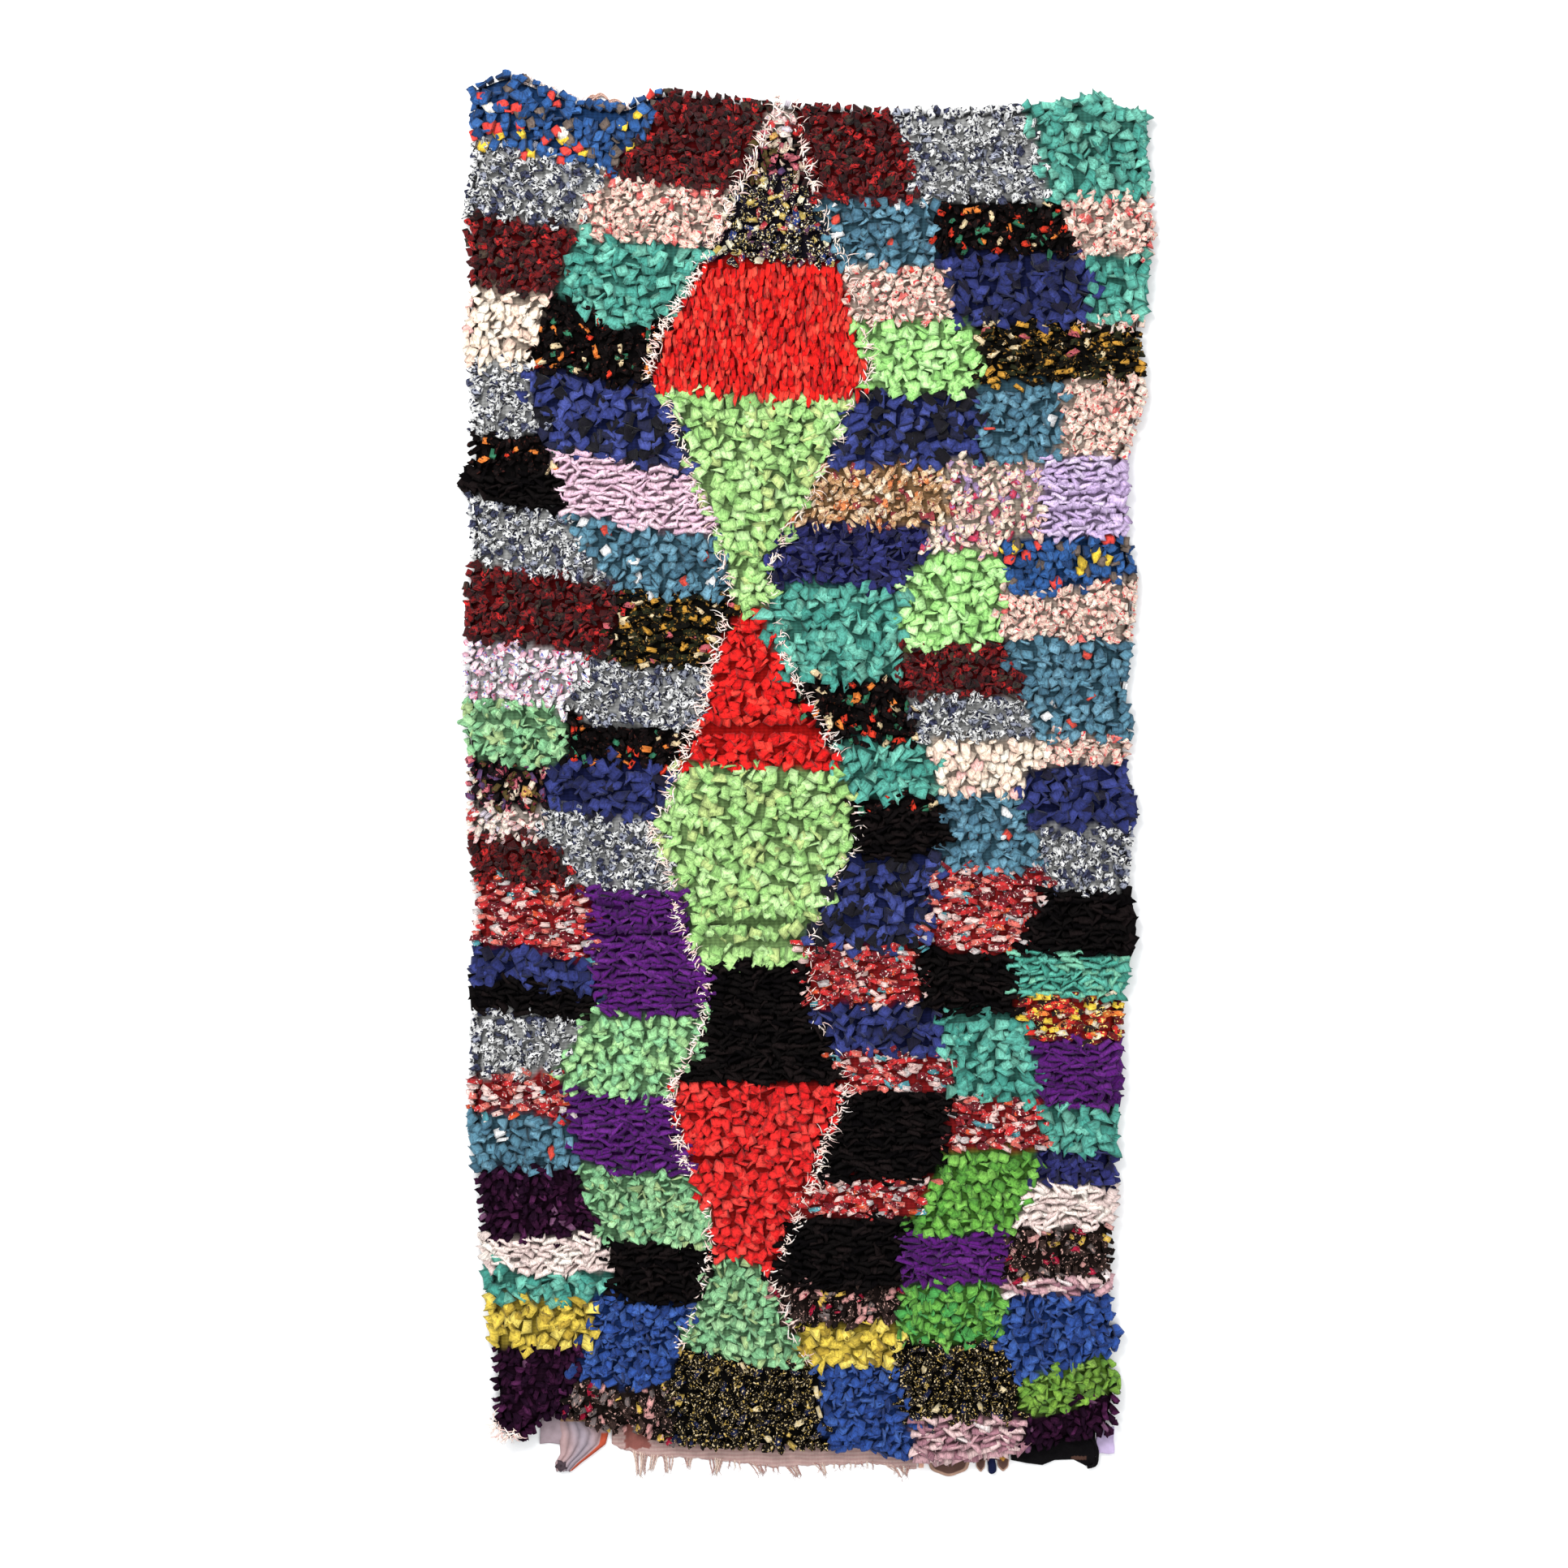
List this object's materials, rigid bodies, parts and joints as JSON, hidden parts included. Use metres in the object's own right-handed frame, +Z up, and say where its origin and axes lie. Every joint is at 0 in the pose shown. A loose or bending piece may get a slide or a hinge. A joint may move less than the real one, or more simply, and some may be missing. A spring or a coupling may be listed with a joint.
{
  "type": "boucherouite rug",
  "caption": "Flat rag-pile rug with a lumpy slab of pile, locks at its rim, a flat-woven end with warp fringe, and loose rag ends.",
  "frame": {"origin": "the middle of the rug's underside, on the floor", "axes": "+X across the rug, +Y up its length away from the fringed end, +Z up out of the pile"},
  "size_m": [1.1049, 2.2556, 0.0275],
  "materials": {
    "rag_pile": "cut ends of knotted cotton jersey rags, in many plain and printed colours",
    "warp_web": "plain-woven cotton and wool yarn, dull",
    "grey_cloth": "soft worn cotton cloth, gathered",
    "black_cloth": "black cotton jersey, rolled",
    "lilac_cloth": "smooth thin cotton cloth",
    "brown_cloth": "brown cotton cloth with a beige edge, folded double",
    "navy_cloth": "navy cotton jersey, knotted"
  },
  "bodies": {
    "root": {"pile_rug": "rag_pile", "end_web": "warp_web", "grey_rag": "grey_cloth", "black_rag": "black_cloth", "lilac_tab": "lilac_cloth", "brown_rag": "brown_cloth", "navy_end": "navy_cloth", "top_loops": "warp_web"}
  },
  "joints": []
}
